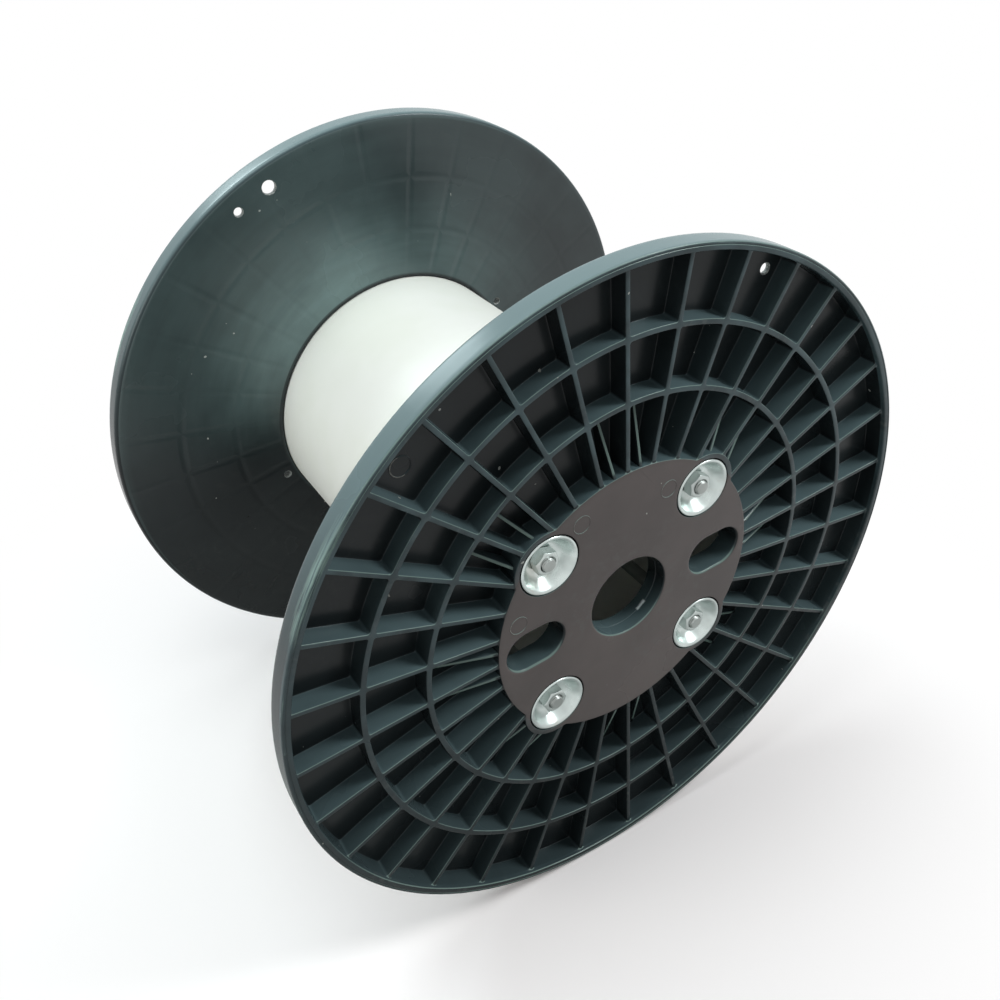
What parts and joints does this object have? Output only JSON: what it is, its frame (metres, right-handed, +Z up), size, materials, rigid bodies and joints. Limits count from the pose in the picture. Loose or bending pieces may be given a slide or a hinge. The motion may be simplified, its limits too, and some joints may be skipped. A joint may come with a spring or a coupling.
{
  "type": "plastic cable spool",
  "caption": "Cable spool: ribbed moulded plastic flanges bolted through a plain plastic tube barrel, with a spindle bore and drive slots in each hub.",
  "frame": {"origin": "on the floor, under the axis and midway between the two outer rim faces", "axes": "+Z up; Y along the spool's axis, with the front flange towards -Y; X to the right when looking at the front flange"},
  "size_m": [0.5, 0.35, 0.5],
  "materials": {
    "flange_plastic": "semi-gloss black moulded polypropylene",
    "barrel_plastic": "plain white extruded pipe",
    "zinc_plated_steel": "bright zinc plate"
  },
  "bodies": {
    "root": {"flange_front": "flange_plastic", "flange_back": "flange_plastic", "barrel": "barrel_plastic", "tie_rod_1": "zinc_plated_steel", "cup_washer_front_1": "zinc_plated_steel", "nut_front_1": "zinc_plated_steel", "cup_washer_back_1": "zinc_plated_steel", "nut_back_1": "zinc_plated_steel", "tie_rod_2": "zinc_plated_steel", "cup_washer_front_2": "zinc_plated_steel", "nut_front_2": "zinc_plated_steel", "cup_washer_back_2": "zinc_plated_steel", "nut_back_2": "zinc_plated_steel", "tie_rod_3": "zinc_plated_steel", "cup_washer_front_3": "zinc_plated_steel", "nut_front_3": "zinc_plated_steel", "cup_washer_back_3": "zinc_plated_steel", "nut_back_3": "zinc_plated_steel", "tie_rod_4": "zinc_plated_steel", "cup_washer_front_4": "zinc_plated_steel", "nut_front_4": "zinc_plated_steel", "cup_washer_back_4": "zinc_plated_steel", "nut_back_4": "zinc_plated_steel"}
  },
  "joints": []
}
